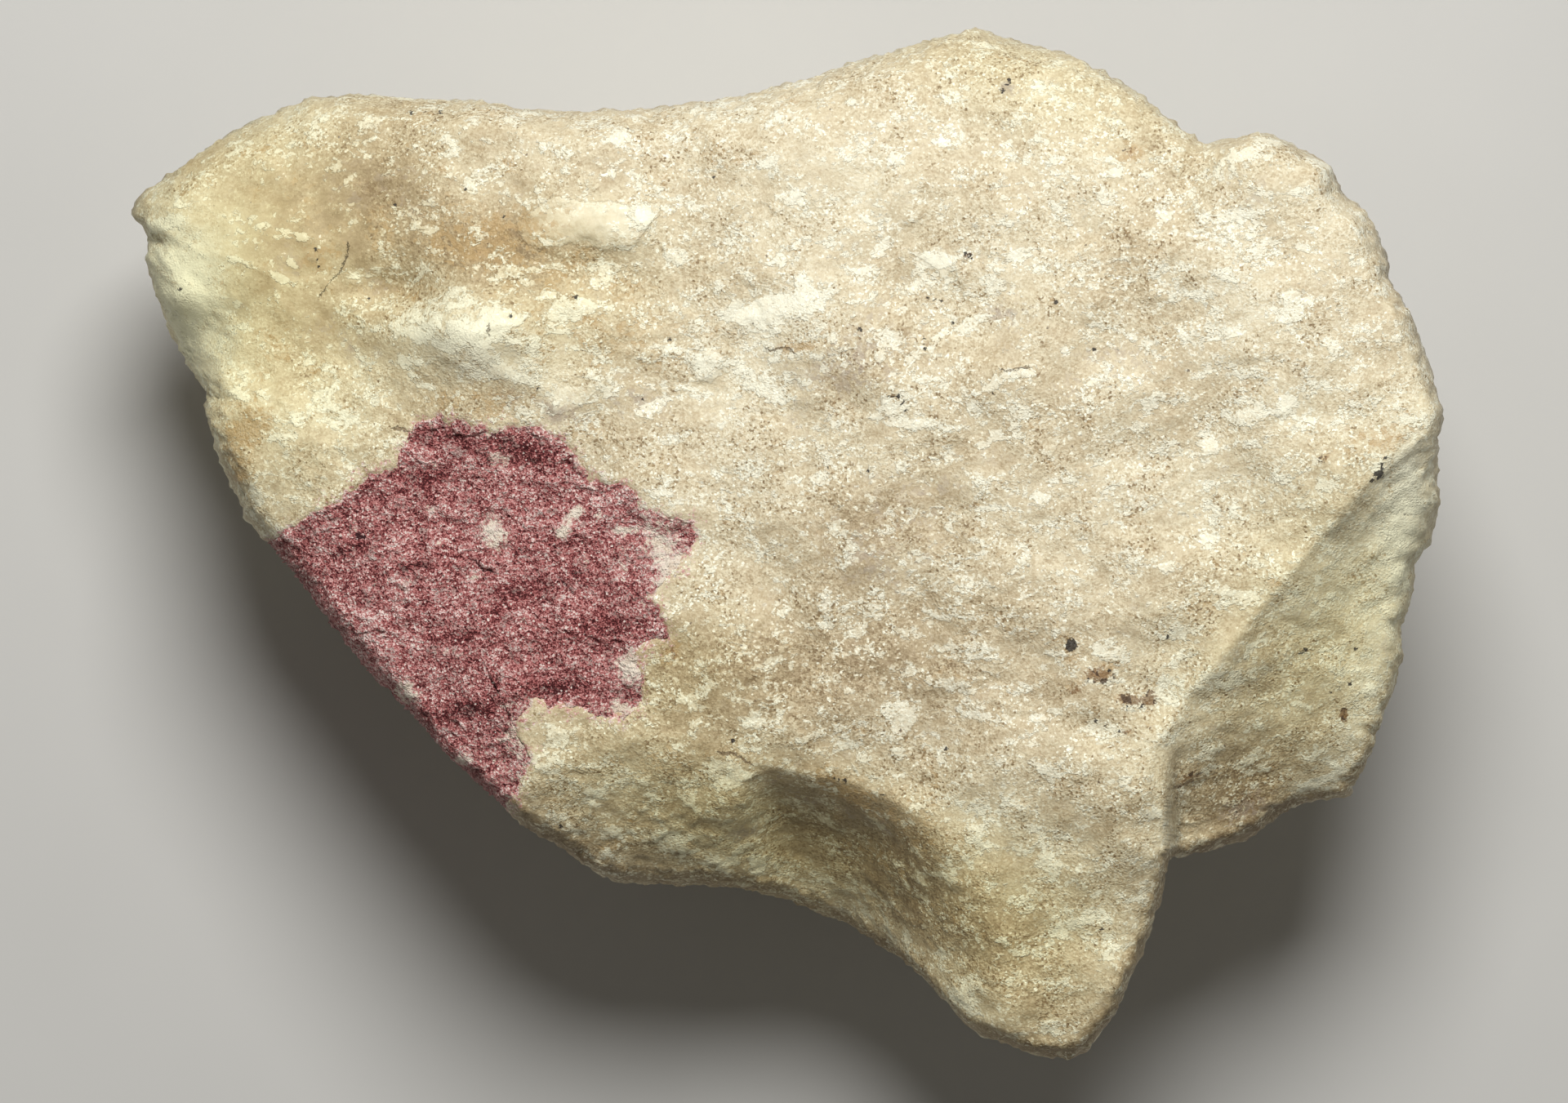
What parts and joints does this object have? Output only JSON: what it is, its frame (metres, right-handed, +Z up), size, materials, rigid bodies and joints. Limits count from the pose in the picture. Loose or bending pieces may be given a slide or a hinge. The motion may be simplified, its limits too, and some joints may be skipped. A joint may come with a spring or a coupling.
{
  "type": "cinnabar on matrix mineral specimen",
  "caption": "Loose hand specimen of pale granular rock with a dull red cinnabar mass in its broad upper face, a steep side facet and a blunt nose.",
  "frame": {"origin": "on the ground under the middle of the bounding box, with the stone lying on its flat broken underside", "axes": "+Z up out of the broad upper face; +X along the stone's length, away from its pointed left tip; +Y across it, away from the blunt nose"},
  "size_m": [0.1043, 0.082, 0.044],
  "materials": {
    "matrix_rock": "rough, sugary cream to tan grain",
    "cinnabar_red": "earthy, dull red grain"
  },
  "bodies": {
    "root": {"matrix": "matrix_rock", "cinnabar": "cinnabar_red"}
  },
  "joints": []
}
